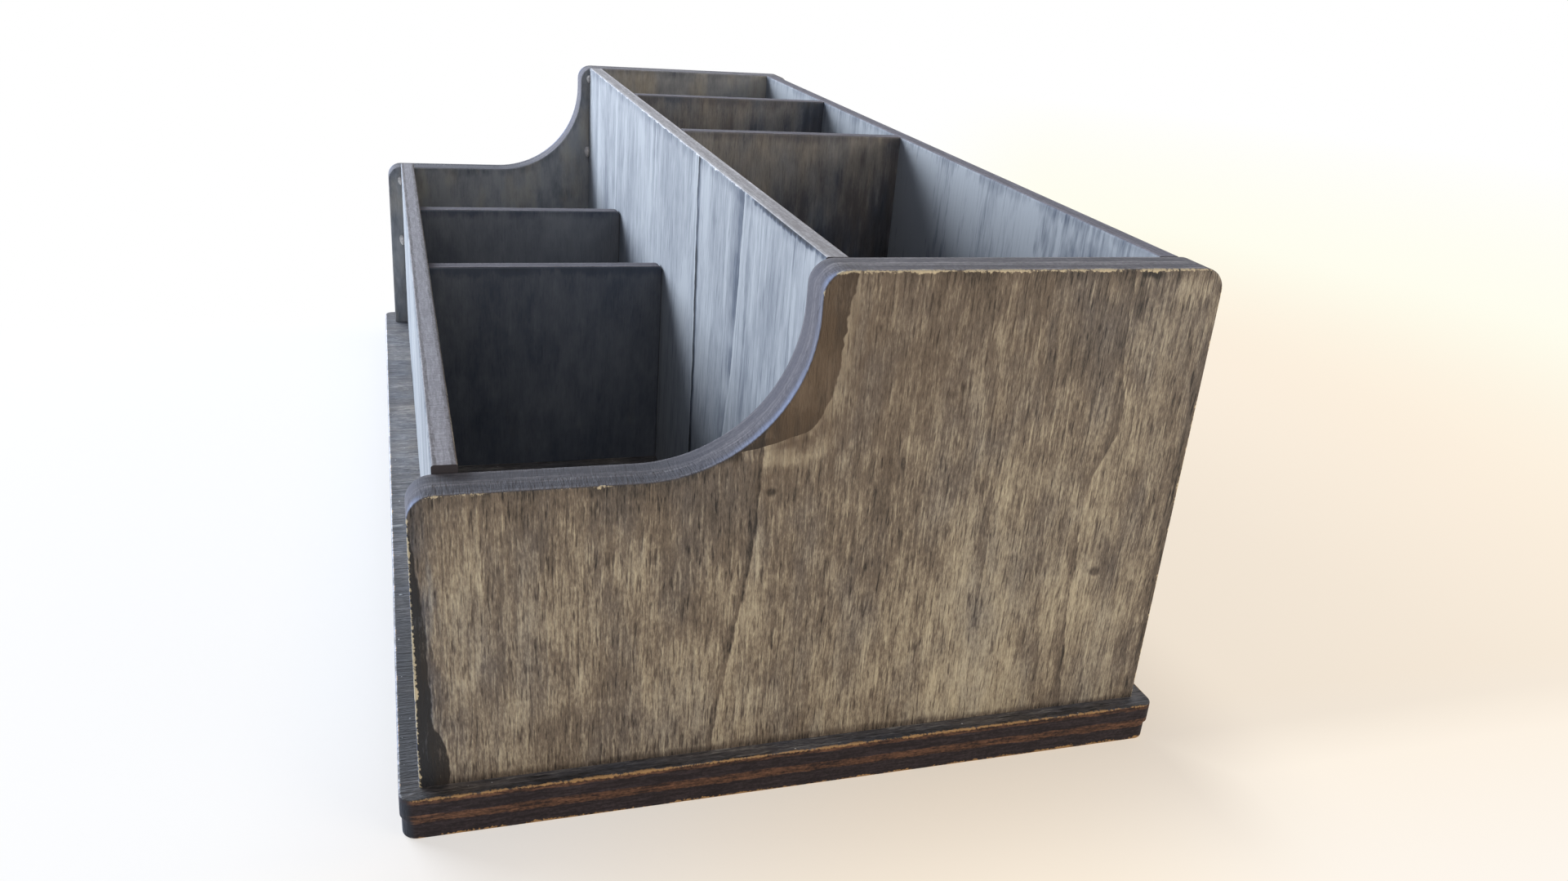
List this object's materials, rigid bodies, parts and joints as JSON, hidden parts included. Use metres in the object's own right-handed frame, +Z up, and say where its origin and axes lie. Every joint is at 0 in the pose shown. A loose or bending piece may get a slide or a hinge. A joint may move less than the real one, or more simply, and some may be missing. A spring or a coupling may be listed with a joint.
{
  "type": "paint rack organizer",
  "caption": "Stained plywood bench tray for model paints and brushes, with a low front row and a high back row of open compartments.",
  "frame": {"origin": "middle of the underside of the base, on the surface that the rack stands on", "axes": "+X along the rack's length, +Y from the low front row to the high back row, +Z up"},
  "size_m": [0.2604, 0.1394, 0.0935],
  "materials": {
    "base_lower": "dark wood stain, wiped thin, on three-ply sheet",
    "base_upper": "dark wood stain, wiped thin, on three-ply sheet",
    "left_side_outer": "dark wood stain, wiped thin, on three-ply sheet",
    "left_side_inner": "dark wood stain, wiped thin, on three-ply sheet",
    "right_side_outer": "dark wood stain, wiped thin, on three-ply sheet",
    "right_side_inner": "dark wood stain, wiped thin, on three-ply sheet",
    "front_panel": "dark wood stain, wiped thin, on three-ply sheet",
    "middle_panel": "dark wood stain, wiped thin, on three-ply sheet",
    "back_panel": "dark wood stain, wiped thin, on three-ply sheet",
    "front_divider_1": "dark wood stain, wiped thin, on three-ply sheet",
    "front_divider_2": "dark wood stain, wiped thin, on three-ply sheet",
    "back_divider_1": "dark wood stain, wiped thin, on three-ply sheet",
    "back_divider_2": "dark wood stain, wiped thin, on three-ply sheet"
  },
  "bodies": {
    "root": {"base_lower": "base_lower", "base_upper": "base_upper", "left_side_outer": "left_side_outer", "left_side_inner": "left_side_inner", "right_side_outer": "right_side_outer", "right_side_inner": "right_side_inner", "front_panel": "front_panel", "middle_panel": "middle_panel", "back_panel": "back_panel", "front_divider_1": "front_divider_1", "front_divider_2": "front_divider_2", "back_divider_1": "back_divider_1", "back_divider_2": "back_divider_2"}
  },
  "joints": []
}
